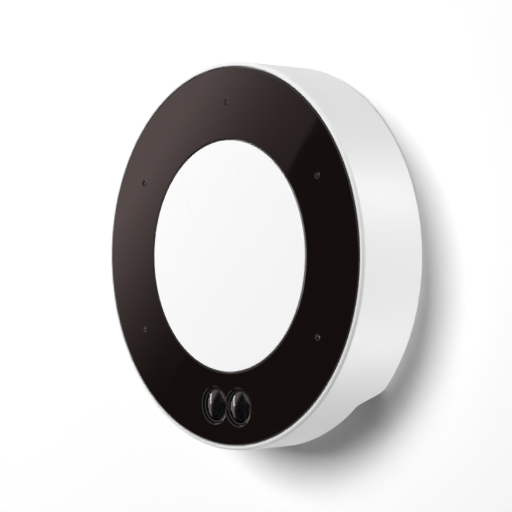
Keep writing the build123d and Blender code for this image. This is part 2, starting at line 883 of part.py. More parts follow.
def bracket_pocket():
    """The hollows in the bracket's rear, which leave a rim, two pads and ribs on the wall."""
    pocket = bracket_outline(bracket_rim)
    for place in wall_screw_places():
        pocket -= Pos(*place) * RegularPolygon(bracket_pad_radius, small_sides)
    for angle in bracket_rib_angles:
        pocket -= Rot(0, 0, angle) * Rectangle(2 * bracket_radius, bracket_rib_width)
    return slab(pocket, -overrun, bracket_pocket_depth)


def bracket_stud(angle):
    """A T-shaped stud bent to its circle: a neck as tall as the cover is thick, and a wider head."""
    start = angle + twist_angle / 2 - stud_half_angle()
    end = angle + twist_angle / 2 + stud_half_angle()
    neck_half = stud_neck_width / 2
    head_half = stud_head_width / 2
    head_low = cover_inner + fit_gap
    neck = sector(stud_circle_radius - neck_half, stud_circle_radius + neck_half, start, end)
    head = sector(stud_circle_radius - head_half, stud_circle_radius + head_half, start, end)
    return slab(neck, bracket_thickness - snug_gap, head_low) + slab(head, head_low, head_low + stud_head_thickness)


def wall_screw_hole(place):
    """A round hole with a faceted countersink for the wall screw's head."""
    sink = wall_screw_head_radius - wall_screw_hole_radius
    seat = tapered(wall_screw_head_radius, wall_screw_hole_radius, bracket_thickness, bracket_thickness - sink,
                   small_sides)
    hole = rod(wall_screw_hole_radius, -overrun, bracket_thickness + overrun, place)
    return hole + Pos(place[0], place[1], 0) * seat


def wall_bracket():
    """The plate on the wall, with its studs towards the controller."""
    plate = slab(bracket_outline(0), 0, bracket_thickness) - bracket_pocket()
    plate += [bracket_stud(angle) for angle in stud_angles]
    return plate - [wall_screw_hole(place) for place in wall_screw_places()]


# All pieces, by name

def pieces():
    """Every piece of the controller."""
    found = {
        "wall_bracket": wall_bracket(),
        "housing": housing(),
        "bezel_ring": bezel_ring(),
        "centre_disc": centre_disc(),
        "eye_bezel": eye_bezel(),
        "alarm_lens_left": alarm_lens(eye_places()[0]),
        "alarm_lens_right": alarm_lens(eye_places()[1]),
        "alarm_reflectors": [alarm_reflector(place) for place in eye_places()],
        "alarm_leds": [alarm_led(place) for place in eye_places()],
        "light_pipes": [light_pipe(angle) for angle in pipe_angles],
        "indicator_leds": [indicator_led(angle) for angle in pipe_angles],
        "main_board": main_board(),
        "processor": chip(processor_shares, processor_place_share),
        "memory_chips": [chip(memory_shares, shares) for shares in memory_place_shares],
        "radio_module": radio_board(),
        "radio_shield": radio_shield(),
        "sensor_radio": sensor_radio(),
        "relay_drivers": [chip(driver_shares, shares) for shares in driver_place_shares],
        "optocouplers": [chip(optocoupler_shares, shares) for shares in optocoupler_place_shares],
        "power_jack": power_jack(),
        "power_jack_pin": power_jack_pin(),
        "fuse": chip(fuse_shares, fuse_place_share),
        "power_inductor": inductor(),
        "regulator": chip(regulator_shares, regulator_place_share),
        "filter_capacitors": [capacitor(shares) for shares in capacitor_place_shares],
        "alarm_sounder": alarm_sounder(),
        "reset_switch": reset_switch(),
        "reset_plunger": reset_plunger(),
        "reset_button": reset_button(),
        "rear_cover": rear_cover(),
        "cover_screws": cover_screws(),
        "board_screws": board_screws(),
    }
    for number, shares in enumerate(relay_place_shares, start=1):
        found[f"relay_{number}"] = relay(shares)
    for name, x in (("relay", relay_header_x), ("sensor", sensor_header_x)):
        found[f"{name}_header"] = terminal_header(x)
        found[f"{name}_header_pins"] = header_pins(x)
        found[f"{name}_plug"] = terminal_plug(x)
        found[f"{name}_plug_clamps"] = plug_clamps(x)
        found[f"{name}_plug_screws"] = plug_screws(x)
    return found


def solids_of(shape):
    """The solids in a piece, or in a group of like pieces."""
    return [solid for part in shape for solid in part.solids()] if isinstance(shape, list) else shape.solids()


os.makedirs("parts", exist_ok=True)
for name, shape in pieces().items():
    standing = [Rot(quarter_turn, 0, 0) * solid for solid in solids_of(shape)]
    export_step(standing[0] if len(standing) == 1 else Compound(children=standing), f"parts/{name}.step")
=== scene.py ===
"""Looks of a round garage door controller on its twist-lock wall bracket, laid out as an add-on."""

import bmesh
import bpy
import numpy as np
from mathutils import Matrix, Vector
from mathutils.geometry import tessellate_polygon


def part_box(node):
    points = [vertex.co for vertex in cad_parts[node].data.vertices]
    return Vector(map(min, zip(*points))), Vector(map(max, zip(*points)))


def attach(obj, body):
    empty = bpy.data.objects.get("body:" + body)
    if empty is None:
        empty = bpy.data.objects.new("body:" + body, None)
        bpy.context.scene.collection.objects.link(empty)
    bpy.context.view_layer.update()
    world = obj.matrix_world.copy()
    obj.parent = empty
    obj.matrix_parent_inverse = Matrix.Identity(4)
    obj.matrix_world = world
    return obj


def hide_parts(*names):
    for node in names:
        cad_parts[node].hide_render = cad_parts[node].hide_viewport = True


bl_info = {
    "name": "Garage Door Controller",
    "version": (1, 0, 0),
    "blender": (4, 5, 0),
    "location": "3D View > Sidebar > Controller",
    "description": "Builds the controller's visible pieces, materials and stage round its packed frame",
    "category": "Object",
}

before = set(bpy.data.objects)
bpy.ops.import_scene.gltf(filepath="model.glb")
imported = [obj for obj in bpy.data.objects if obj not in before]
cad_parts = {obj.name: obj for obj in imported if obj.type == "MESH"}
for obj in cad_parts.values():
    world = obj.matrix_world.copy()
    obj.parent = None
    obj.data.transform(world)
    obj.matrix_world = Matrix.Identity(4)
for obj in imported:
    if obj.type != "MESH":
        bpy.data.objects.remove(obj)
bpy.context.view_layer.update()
TURN = 2 * np.pi

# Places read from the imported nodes. A piece is drawn lying: x to the right, y up and z out to the front.
HOUSING_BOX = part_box("housing")
RING_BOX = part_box("bezel_ring")
DISC_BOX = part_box("centre_disc")
BEZEL_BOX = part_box("eye_bezel")
LENS_BOXES = [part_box("alarm_lens_left"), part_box("alarm_lens_right")]
BOARD_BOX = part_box("main_board")
CUP_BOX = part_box("alarm_reflectors")
PIPE_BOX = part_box("light_pipes")
RING_REAR = -RING_BOX[1].y
PLATE_REAR = RING_REAR - 0.0018
BODY_DEPTH = -HOUSING_BOX[0].y
LENS_PLACES = [((low.x + high.x) / 2, (low.z + high.z) / 2) for low, high in LENS_BOXES]
WINDOW_ANGLES = (30, 90, 150, 210, 330)
HOOK_ANGLES = (30, 150, 270)
BOSS_ANGLES = (90, 202, 338)
BOARD_SCREW_SHARES = ((-0.235, 0.84), (-0.605, -0.20), (0.605, -0.20))

# The disc's hooks, the gaps between pieces, and how far one shell sinks into the shell it is joined to.
HOOK_INNER, HOOK_OUTER, HOOK_BARB = 0.0313, 0.0327, 0.0336
HOOK_HALF_WIDTH = 0.004
SNUG_GAP = 0.00015
GLOSS_GAP = 0.00012
SINK = 0.0002
RIB_HALF = 0.0006


# Sizes and colours that can be changed

def length(name, description, default):
    """A length in metres."""
    return bpy.props.FloatProperty(name=name, description=description, default=default, min=0.0, precision=5,
                                   subtype="DISTANCE", unit="LENGTH")


def slant(name, description, degrees):
    """An angle, given in degrees."""
    return bpy.props.FloatProperty(name=name, description=description, default=np.radians(degrees),
                                   subtype="ANGLE", unit="ROTATION")


def amount(name, description, default):
    """A number in the unit that its description names."""
    return bpy.props.FloatProperty(name=name, description=description, default=default, min=0.0)


def colour(name, description, default):
    """A colour without transparency."""
    return bpy.props.FloatVectorProperty(name=name, description=description, default=default, size=3, min=0.0,
                                         max=1.0, subtype="COLOR")


def factor(name, description, default):
    """A share from 0 to 1."""
    return bpy.props.FloatProperty(name=name, description=description, default=default, min=0.0, max=1.0,
                                   subtype="FACTOR")


class HousingSizes(bpy.types.PropertyGroup):
    """Sizes of the round white shell."""
    radius: length("Radius", "Outer radius of the shell", HOUSING_BOX[1].x)
    wall: length("Wall", "Thickness of the shell's wall", 0.0022)
    lip: length("Lip", "Width of the rounded lip round the face", 0.0015)
    front_round: length("Front Round", "Radius of the shell's front edge", 0.0012)
    rear_round: length("Rear Round", "Radius of the shell's rear edge", 0.0004)
    notch_height: length("Notch Height", "Height of the cable notch in the rear edge", 0.0071)
    notch_angle: slant("Notch Angle", "Half the angle that the cable notch takes", 44.6)
    notch_curve: slant("Notch Curve", "Angle that each S-curve end takes", 7.6)
    boss_circle: length("Boss Circle", "Radius of the circle on which the long bosses stand", 0.058)


class FaceSizes(bpy.types.PropertyGroup):
    """Sizes of the ring, disc, windows and warning lights."""
    ring_outer: length("Ring Outer", "Outer radius of the black ring", RING_BOX[1].x)
    ring_gap: length("Ring Gap", "Gap between the ring and the disc", 0.0003)
    ring_bevel: length("Ring Bevel", "Bevel at the ring's edges", 0.00035)
    disc_radius: length("Disc Radius", "Radius of the white disc", DISC_BOX[1].x)
    disc_round: length("Disc Round", "Radius of the disc's edge", 0.00035)
    window_circle: length("Window Circle", "Radius of the circle on which the indicator windows lie", 0.0513)
    window_radius: length("Window Radius", "Radius of an indicator window", 0.00075)
    eye_radius: length("Eye Radius", "Radius of each round of the warning lights' opening", 0.0063)
    lens_radius: length("Lens Radius", "Radius of a warning light's lens", 0.0052)
    cup_foot: length("Cup Foot", "Radius of a reflector at its light", 0.0027)


class ScrewSizes(bpy.types.PropertyGroup):
    """Sizes of the screws that can be seen."""
    head_radius: length("Head Radius", "Radius of a housing screw's head", 0.0028)
    head_height: length("Head Height", "Height of a housing screw's head", 0.0017)
    shank_radius: length("Shank Radius", "Radius of a housing screw over its thread", 0.0014)
    thread_pitch: length("Thread Pitch", "Distance between two turns of the thread", 0.0011)
    thread_depth: length("Thread Depth", "Depth of the thread", 0.00028)
    cross_length: length("Cross Length", "Half the length of the cross recess", 0.0013)
    cross_width: length("Cross Width", "Half the width of the cross recess", 0.00036)
    clamp_radius: length("Clamp Radius", "Radius of a terminal screw's head", 0.0013)
    clamp_slot: length("Clamp Slot", "Half the width of a terminal screw's slot", 0.00024)


class FinishColours(bpy.types.PropertyGroup):
    """Colours of the controller's finishes."""
    housing: colour("Housing", "White of the shell", (0.86, 0.86, 0.855))
    disc: colour("Disc", "White of the centre disc", (0.92, 0.92, 0.92))
    ring: colour("Ring", "Black of the ring", (0.0075, 0.0048, 0.0044))
    bezel: colour("Bezel", "Black round the warning lights", (0.006, 0.005, 0.005))
    lens: colour("Lens", "Smoked clear of the lenses", (0.07, 0.07, 0.073))
    cover: colour("Cover", "Grey white of the rear cover", (0.66, 0.66, 0.65))
    bracket: colour("Bracket", "Light grey of the wall bracket", (0.50, 0.51, 0.51))
    board: colour("Board", "Green of the circuit boards", (0.010, 0.085, 0.036))
    terminal: colour("Terminal", "Green of the pull-out terminals", (0.012, 0.17, 0.06))
    button: colour("Button", "Grey of the reset button", (0.10, 0.105, 0.11))


class StageSettings(bpy.types.PropertyGroup):
    """Camera, lamps, wall and floor."""
    azimuth: slant("Azimuth", "Camera's angle round the controller", 48.5)
    distance: length("Distance", "From the camera to the controller", 0.60)
    focal_length: amount("Focal Length", "Camera's focal length in millimetres", 124.0)
    floor_drop: length("Floor Drop", "How far the floor lies under the controller's centre", 0.35)
    ambient: factor("Ambient", "Strength of the even light", 0.08)
    key_power: amount("Key Power", "Power of the main lamp in watts", 32.5)
    side_power: amount("Side Power", "Power of the side lamp in watts", 21.5)
    low_power: amount("Low Power", "Power of the low lamp in watts", 12.0)
    strip_power: amount("Strip Power", "Power of the strip that the warning lights mirror, in watts", 0.11)
    card_distance: length("Card Distance", "From the face to the card that the ring mirrors", 0.55)
    card_size: length("Card Size", "Size of the card", 0.6)
    card_edge: slant("Card Edge", "Angle across the view of the line where the card turns light", 61.0)
    card_tint: colour("Card Tint", "Warm tone of the card's light part", (1.0, 0.77, 0.745))


# Surfaces

def standing(points):
    """Stands drawn points up: (x, y, z) becomes (x, -z, y)."""
    return np.stack([points[..., 0], -points[..., 2], points[..., 1]], axis=-1)


def grid_faces(rows, columns):
    """Four-sided faces of a grid that closes on itself from its last column to its first."""
    row, column = np.meshgrid(np.arange(rows - 1), np.arange(columns), indexing="ij")
    here, after = row * columns + column, row * columns + (column + 1) % columns
    return np.stack([here, after, after + columns, here + columns], axis=-1).reshape(-1, 4)


def rectangle(x_low, x_high, y_low, y_high):
    """The corners of a rectangle, in order."""
    return [(x_low, y_low), (x_high, y_low), (x_high, y_high), (x_low, y_high)]


def rounded(corners, radii, steps=6):
    """A closed outline with rounded corners: each corner becomes an arc, sin((1-t)w) u + sin(tw) v over
    sin(w), and a point just before and after it keeps the straight runs flat."""
    hold = 0.00003
    corners = np.asarray(corners, float)
    share = np.linspace(0, 1, steps + 1)[:, None]
    pieces = []
    for index, radius in enumerate(radii):
        corner = corners[index]
        if not radius:
            pieces.append(corner[None])
            continue
        back, ahead = corners[index - 1] - corner, corners[(index + 1) % len(corners)] - corner
        back, ahead = back / np.linalg.norm(back), ahead / np.linalg.norm(ahead)
        half = np.arccos(np.clip(back @ ahead, -1, 1)) / 2
        reach = radius / np.tan(half)
        centre = corner + (back + ahead) / np.linalg.norm(back + ahead) * radius / np.sin(half)
        start, end = corner + back * reach, corner + ahead * reach
        sweep = np.pi - 2 * half
        leaving, arriving = np.sin((1 - share) * sweep) / np.sin(sweep), np.sin(share * sweep) / np.sin(sweep)
        arc = centre + leaving * (start - centre) + arriving * (end - centre)
        pieces.append(np.vstack([start + back * hold, arc, end + ahead * hold]))
    return np.vstack(pieces)


def turned(profile, columns, centre=(0, 0), close=True):
    """A turned shell: point (r, z) of the profile goes round as (r cos a, r sin a, z)."""
    profile = np.asarray(profile, float)
    if close:
        profile = np.vstack([profile, profile[:1]])
    angle = np.linspace(0, TURN, columns, endpoint=False)
    radius, height = profile[:, :1], profile[:, 1:]
    x, y = centre[0] + radius * np.cos(angle), centre[1] + radius * np.sin(angle)
    points = np.stack([x, y, np.broadcast_to(height, x.shape)], axis=-1)
    return points.reshape(-1, 3), grid_faces(len(profile), columns).tolist()


def threaded(radius, depth, pitch, low, high, centre, columns=24):
    """A threaded shank: its radius is radius - depth |2 f - 1|, where f is the part of z / pitch - a / turn
    past its last whole number. Both ends run to the axis."""
    rows_per_turn = 6
    rows = max(4, int((high - low) / pitch * rows_per_turn))
    angle = np.linspace(0, TURN, columns, endpoint=False)
    height = np.linspace(low, high, rows)[:, None]
    phase = (height / pitch - angle / TURN) % 1.0
    reach = radius - depth * np.abs(2 * phase - 1)
    reach = np.vstack([np.zeros((1, columns)), reach, np.zeros((1, columns))])
    height = np.vstack([height[:1], height, height[-1:]])
    points = np.stack([centre[0] + reach * np.cos(angle), centre[1] + reach * np.sin(angle),
                       np.broadcast_to(height, reach.shape)], axis=-1)
    return points.reshape(-1, 3), grid_faces(rows + 2, columns).tolist()


def circle_edge(radius, centre=(0, 0), count=64, outer=False):
    """A round edge that can be drawn back from the material by a distance d: (r + d)(cos a, sin a), or r - d
    where it is the plate's outer edge."""
    angle = np.linspace(0, TURN, count, endpoint=False)
    around = np.stack([np.cos(angle), np.sin(angle)], axis=-1)
    side = -1 if outer else 1
    return lambda back: np.asarray(centre) + (radius + side * back) * around


def box_edge(x_low, x_high, y_low, y_high, degrees=0.0):
    """A four-sided hole's edge, turned about the middle of the drawing, that can be drawn back."""
    c, s = np.cos(np.radians(degrees)), np.sin(np.radians(degrees))
    turning = np.array([(c, s), (-s, c)])

    def edge(back):
        return np.array(rectangle(x_low - back, x_high + back, y_low - back, y_high + back)) @ turning
    return edge


def eight_edge(radius, places, count):
    """The edge of a figure-eight hole that can be drawn back: two crossing circles, x = m + h + r cos a and
    x = m - h + r cos a, each without the part inside the other. They cross where the cosine is h / r."""
    (x0, y), (x1, _) = places
    middle, half = (x0 + x1) / 2, (x1 - x0) / 2

    def edge(back):
        r = radius + back
        meet = np.arccos(half / r)
        right, left = np.linspace(meet - np.pi, np.pi - meet, count), np.linspace(meet, TURN - meet, count)
        return np.vstack([np.stack([middle + side * half + r * np.cos(angle), y + r * np.sin(angle)], axis=-1)
                          for side, angle in ((1, right), (-1, left))])
    return edge


def cross_edge(length_half, width_half, centre):
    """The outline of a cross recess."""
    a, b = length_half, width_half
    corners = [(a, -b), (a, b), (b, b), (b, a), (-b, a), (-b, b), (-a, b), (-a, -b), (-b, -b), (-b, -a),
               (b, -a), (b, -b)]
    return lambda back: np.asarray(centre) + np.array(corners)


def plate(edges, low, high, bevel=0.0, steps=3):
    """A flat plate with holes: every edge rises straight and then draws back by b (1 - cos a) while it rises
    by b sin a; the flat faces are filled between the edges. The first edge is the outer one."""
    sweep = np.linspace(0, np.pi / 2, steps + 1) if bevel else np.array([0.0])
    levels = [(0.0, low)] + [(bevel * (1 - np.cos(a)), high - bevel + bevel * np.sin(a)) for a in sweep]
    points, faces, tops, bottoms, start = [], [], [], [], 0
    for edge in edges:
        loops = [np.column_stack([edge(back), np.full(len(edge(back)), height)]) for back, height in levels]
        count = len(loops[0])
        points += loops
        faces += (grid_faces(len(levels), count) + start).tolist()
        bottoms.append(np.arange(count) + start)
        tops.append(np.arange(count) + start + (len(levels) - 1) * count)
        start += count * len(levels)
    points = np.vstack(points)
    for loops in (bottoms, tops):
        index = np.concatenate(loops)
        rings = [[Vector(p) for p in points[loop]] for loop in loops]
        faces += index[np.array(tessellate_polygon(rings))].tolist()
    return points, faces


def bar(outline, low, high):
    """A straight bar: an outline (u, v) carried from one end to the other, closed at both ends."""
    count = len(outline)
    points = np.vstack([np.column_stack([outline, np.full(count, end)]) for end in (low, high)])
    faces = grid_faces(2, count).tolist() + [list(range(count))[::-1], list(range(count, 2 * count))]
    return points, faces


def about(shell, degrees):
    """A shell turned about the middle of the face: (x cos a - y sin a, x sin a + y cos a, z)."""
    points, faces = shell
    c, s = np.cos(np.radians(degrees)), np.sin(np.radians(degrees))
    x, y, z = points.T
    return np.column_stack([x * c - y * s, x * s + y * c, z]), faces


def polar(radius, degrees):
    """The place at a radius and an angle."""
    return radius * np.cos(np.radians(degrees)), radius * np.sin(np.radians(degrees))


def make_piece(name, shells, material, replaced, body="controller", sharp=35):
    """Joins shells into one mesh, merges doubles, turns the faces outwards and puts the piece on its body."""
    start, points, faces = 0, [], []
    for shell_points, shell_faces in shells:
        points.append(standing(shell_points))
        faces += [[index + start for index in face] for face in shell_faces]
        start += len(shell_points)
    mesh = bpy.data.meshes.new(name)
    mesh.from_pydata(np.vstack(points), [], faces)
    work = bmesh.new()
    work.from_mesh(mesh)
    bmesh.ops.remove_doubles(work, verts=work.verts, dist=1e-7)
    bmesh.ops.recalc_face_normals(work, faces=work.faces)
    work.to_mesh(mesh)
    work.free()
    mesh.validate()
    mesh.shade_smooth()
    mesh.set_sharp_from_angle(angle=np.radians(sharp))
    mesh.materials.append(material)
    piece = bpy.data.objects.new(name, mesh)
    bpy.context.scene.collection.objects.link(piece)
    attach(piece, body)
    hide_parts(*replaced)


# Shared effects

def fill(tree, made, inputs):
    """Fills a node's inputs, each with either a value or an output to link."""
    for key, value in inputs.items():
        if isinstance(value, bpy.types.NodeSocket):
            tree.links.new(value, made.inputs[key])
        else:
            made.inputs[key].default_value = value


def node(tree, kind, inputs=None, **settings):
    """Adds a node with its settings and inputs."""
    made = tree.nodes.new(kind)
    for key, value in settings.items():
        setattr(made, key, value)
    fill(tree, made, inputs or {})
    return made


def maths(tree, operation, *values):
    """The result of a Math node."""
    return node(tree, "ShaderNodeMath", dict(enumerate(values)), operation=operation).outputs[0]


def dot(tree, first, second):
    """The dot product of two vectors."""
    return node(tree, "ShaderNodeVectorMath", {0: first, 1: second}, operation="DOT_PRODUCT").outputs["Value"]


def ranged(tree, value, low, high, new_low=0.0, new_high=1.0):
    """A value carried from one range to another and held there."""
    return node(tree, "ShaderNodeMapRange", {"Value": value, "From Min": low, "From Max": high,
                                             "To Min": new_low, "To Max": new_high}).outputs["Result"]


def blend(tree, share, first, second):
    """A colour between two others."""
    return node(tree, "ShaderNodeMix", {"Factor": share, 6: first, 7: second}, data_type="RGBA").outputs[2]


def noise(tree, place, scale, detail, roughness=0.5):
    """A cloudy field."""
    return node(tree, "ShaderNodeTexNoise", {"Vector": place, "Scale": scale, "Detail": detail,
                                             "Roughness": roughness}).outputs["Fac"]


def stretched(tree, place, scale, rotation=(0.0, 0.0, 0.0)):
    """Coordinates turned and stretched."""
    return node(tree, "ShaderNodeMapping", {"Vector": place, "Rotation": rotation,
                                            "Scale": scale}).outputs["Vector"]


def raised(tree, height, strength, distance):
    """A normal bent by a height."""
    return node(tree, "ShaderNodeBump", {"Height": height, "Strength": strength,
                                         "Distance": distance}).outputs["Normal"]


def new_group(name, inputs, outputs):
    """An empty node group with named inputs and outputs, each given as a name, a kind and, for a number, its
    default."""
    group = bpy.data.node_groups.new(name, "ShaderNodeTree")
    for title, kind, *default in inputs:
        made = group.interface.new_socket(name=title, in_out="INPUT", socket_type=f"NodeSocket{kind}")
        if default:
            made.default_value = default[0]
    for title, kind in outputs:
        group.interface.new_socket(name=title, in_out="OUTPUT", socket_type=f"NodeSocket{kind}")
    return group, node(group, "NodeGroupInput").outputs


def skin_group():
    """Moulded skin: fine grain for the bump, with slow clouds that shade the colour and the roughness."""
    if "moulded_skin" in bpy.data.node_groups:
        return bpy.data.node_groups["moulded_skin"]
    group, given = new_group(
        "moulded_skin",
        [("Vector", "Vector"), ("Colour", "Color"), ("Shade", "Float", 0.04), ("Roughness", "Float", 0.5),
         ("Roughness Change", "Float", 0.08), ("Grain Scale", "Float", 2600.0)],
        [("Colour", "Color"), ("Roughness", "Float"), ("Height", "Float")])
    cloud = ranged(group, noise(group, given["Vector"], 55.0, 3.0), 0.3, 0.7)
    grain = noise(group, given["Vector"], given["Grain Scale"], 2.0, 0.6)
    shading = maths(group, "MULTIPLY", cloud, given["Shade"])
    darker = blend(group, shading, given["Colour"], (0.0, 0.0, 0.0, 1.0))
    swing = maths(group, "SUBTRACT", cloud, 0.5)
    rough = maths(group, "MULTIPLY_ADD", swing, given["Roughness Change"], given["Roughness"])
    node(group, "NodeGroupOutput", {"Colour": darker, "Roughness": rough, "Height": grain})
    return group


def handling_group():
    """Handling marks: sparse dust specks, given as a mask, and faint wiping streaks in the roughness."""
    if "handling_marks" in bpy.data.node_groups:
        return bpy.data.node_groups["handling_marks"]
    group, given = new_group(
        "handling_marks",
        [("Vector", "Vector"), ("Roughness", "Float", 0.06), ("Smudge", "Float", 0.05)],
        [("Roughness", "Float"), ("Dust", "Float")])
    streaks = stretched(group, given["Vector"], (30.0, 30.0, 190.0), (0.0, 0.6, 0.0))
    wiped = ranged(group, noise(group, streaks, 1.0, 4.0), 0.45, 0.75)
    rough = maths(group, "MULTIPLY_ADD", wiped, given["Smudge"], given["Roughness"])
    specks = node(group, "ShaderNodeTexVoronoi", {"Vector": given["Vector"], "Scale": 900.0})
    dust = ranged(group, specks.outputs["Distance"], 0.05, 0.03)
    node(group, "NodeGroupOutput", {"Roughness": rough, "Dust": dust})
    return group


def handled(tree, place, roughness):
    """The outputs of the handling marks on a surface."""
    return node(tree, "ShaderNodeGroup", {"Vector": place, "Roughness": roughness, "Smudge": 0.03},
                node_tree=handling_group()).outputs


def blank_material(name):
    """A new material with its shader and its Object coordinates."""
    material = bpy.data.materials.new(name)
    material.use_nodes = True
    tree = material.node_tree
    return material, tree, tree.nodes["Principled BSDF"], node(tree, "ShaderNodeTexCoord").outputs["Object"]


def full(rgb):
    """A colour with its fourth value."""
    return (*rgb, 1.0)


# Finishes

def moulded(name, rgb, roughness=0.5, shade=0.04, grain=2600.0, relief=0.35, depth=0.00002):
    """A moulded plastic."""
    material, tree, shader, place = blank_material(name)
    skin = node(tree, "ShaderNodeGroup", {"Vector": place, "Colour": full(rgb), "Shade": shade,
                                          "Roughness": roughness, "Grain Scale": grain},
                node_tree=skin_group())
    fill(tree, shader, {"Base Color": skin.outputs["Colour"], "Roughness": skin.outputs["Roughness"],
                        "Normal": raised(tree, skin.outputs["Height"], relief, depth)})
    return material


def polished(name, rgb, roughness=0.03):
    """A polished black plastic with a few specks of dust and wiping marks."""
    material, tree, shader, place = blank_material(name)
    marks = handled(tree, place, roughness)
    dusty = maths(tree, "MULTIPLY", marks["Dust"], 0.05)
    fill(tree, shader, {"Base Color": blend(tree, dusty, full(rgb), (0.5, 0.48, 0.45, 1.0)),
                        "Roughness": marks["Roughness"]})
    return material


def smoked(name, rgb, transmission=1.0):
    """A smoked clear plastic."""
    material, tree, shader, place = blank_material(name)
    fill(tree, shader, {"Base Color": full(rgb), "Roughness": handled(tree, place, 0.04)["Roughness"],
                        "IOR": 1.5, "Transmission Weight": transmission})
    return material


def metal(name, rgb, roughness=0.3, stretch=(900.0, 40.0, 900.0), depth=0.000004):
    """A metal with a fine drawn grain."""
    material, tree, shader, place = blank_material(name)
    grain = noise(tree, stretched(tree, place, stretch), 4.0, 3.0)
    fill(tree, shader, {"Base Color": blend(tree, grain, full([c * 0.86 for c in rgb]), full(rgb)),
                        "Roughness": ranged(tree, grain, 0.0, 1.0, roughness * 0.75, roughness * 1.25),
                        "Normal": raised(tree, grain, 0.4, depth), "Metallic": 1.0})
    return material


def circuit(name, rgb):
    """Solder mask over copper tracks: lighter bands where a field nears whole steps, and round pads."""
    material, tree, shader, place = blank_material(name)
    squared = node(tree, "ShaderNodeTexVoronoi", {"Vector": place, "Scale": 120.0}, distance="CHEBYCHEV")
    bands = maths(tree, "MULTIPLY", squared.outputs["Distance"], 9.0)
    track = ranged(tree, maths(tree, "PINGPONG", bands, 1.0), 0.55, 0.62)
    spots = node(tree, "ShaderNodeTexVoronoi", {"Vector": place, "Scale": 260.0})
    pad = ranged(tree, spots.outputs["Distance"], 0.13, 0.11)
    mask = blend(tree, track, full(rgb), full([c * 1.7 for c in rgb]))
    fill(tree, shader, {"Base Color": blend(tree, pad, mask, (0.62, 0.60, 0.55, 1.0)),
                        "Roughness": ranged(tree, track, 0.0, 1.0, 0.42, 0.3), "Metallic": pad,
                        "Normal": raised(tree, track, 0.5, 0.00003)})
    return material


def dress(nodes, material):
    """Gives carried-over nodes their material."""
    for name in nodes:
        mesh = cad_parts[name].data
        mesh.materials.clear()
        mesh.materials.append(material)


# Pieces

class BuildHousing(bpy.types.Operator):
    """Builds the round white shell with its plate, bosses and ribs"""
    bl_idname = "door_controller.build_housing"
    bl_label = "Housing"

    def execute(self, context):
        size, tone = context.scene.controller_housing, context.scene.controller_colours
        inner, lip_inner = size.radius - size.wall, size.radius - size.lip
        plate_shell = self.front_plate(context.scene.controller_face, lip_inner)
        shells = [self.wall(size, inner, lip_inner), plate_shell, *self.bosses(size, inner), *self.ribs()]
        material = moulded("housing_white", tone.housing, roughness=0.42, shade=0.015, relief=0.25)
        make_piece("housing_shell", shells, material, ["housing"])
        return {"FINISHED"}

    def wall(self, size, inner, lip_inner):
        """The wall and lip: a turned profile whose rear rows rise by h S(|a|), a smooth step at each end of
        the notch."""
        rear, ledge = -HOUSING_BOX[1].y, RING_REAR - 0.0006
        rear_rows, lip_round = 0.002, 0.0003
        columns, end_columns = 289, 61
        profile = rounded([(inner, rear), (size.radius, rear), (size.radius, BODY_DEPTH),
                           (lip_inner, BODY_DEPTH), (lip_inner, ledge), (inner, ledge)],
                          [size.rear_round / 2, size.rear_round, size.front_round, lip_round, 0, 0])
        profile = np.vstack([profile, profile[:1]])
        ends = [side * size.notch_angle + np.linspace(-0.6, 0.6, end_columns) * size.notch_curve
                for side in (-1, 1)]
        angle = np.concatenate([np.linspace(-np.pi, np.pi, columns)[:-1], *ends])
        angle = np.unique(np.round(angle, 6))
        share = np.clip((size.notch_angle - np.abs(angle)) / size.notch_curve + 0.5, 0, 1)
        rise = size.notch_height * share ** 2 * (3 - 2 * share)
        height = profile[:, 1:] + np.where(profile[:, 1:] < rear + rear_rows, rise, 0.0)
        x, y = profile[:, :1] * np.sin(angle), -profile[:, :1] * np.cos(angle)
        return np.stack([x, y, height], axis=-1).reshape(-1, 3), grid_faces(len(profile), len(angle)).tolist()

    def front_plate(self, face, lip_inner):
        """The plate behind the ring and disc, with its hook slots, pipe holes and light openings."""
        slot_half, light_radius = HOOK_HALF_WIDTH + 0.0003, 0.0048
        slot = (HOOK_INNER - SNUG_GAP, HOOK_BARB + SNUG_GAP, -slot_half, slot_half)
        edges = [circle_edge(lip_inner + SINK, count=256, outer=True)]
        edges += [box_edge(*slot, angle) for angle in HOOK_ANGLES]
        edges += [circle_edge(face.window_radius + SNUG_GAP, polar(face.window_circle, angle), 16)
                  for angle in WINDOW_ANGLES]
        edges += [circle_edge(light_radius, place, 40) for place in LENS_PLACES]
        return plate(edges, PLATE_REAR, RING_REAR)

    def bosses(self, size, inner):
        """Long bosses for the cover's screws, tied to the wall, and short ones for the board's."""
        cup_end, tie_start = 0.0074, size.boss_circle + 0.0025
        shells = []
        for angle in BOSS_ANGLES:
            shells.append(self.boss(polar(size.boss_circle, angle), 0.0032, cup_end, 0.0003))
            tie = bar(rectangle(tie_start, inner + SINK, -RIB_HALF, RIB_HALF), cup_end, PLATE_REAR + SINK)
            shells.append(about(tie, angle))
        shells += [self.boss(place, 0.003, -BOARD_BOX[0].y, 0.0002) for place in board_screw_places()]
        return shells

    def boss(self, place, radius, end, end_round):
        """A tube that stands on the plate, rounded at its end."""
        bore, bore_round = 0.0015, 0.0002
        wall = rectangle(bore, radius, end, PLATE_REAR + SINK)
        return turned(rounded(wall, [bore_round, end_round, 0, 0], 3), 32, place)

    def ribs(self):
        """Ribs behind the plate, every sixth of a turn."""
        height = 0.0015
        rib = bar(rectangle(0.010, 0.046, -RIB_HALF, RIB_HALF), PLATE_REAR - height, PLATE_REAR + SINK)
        return [about(rib, angle) for angle in range(0, 360, 60)]


def board_screw_places():
    """The centres of the board's screws."""
    radius = BOARD_BOX[1].x
    return [(x * radius, y * radius) for x, y in BOARD_SCREW_SHARES]


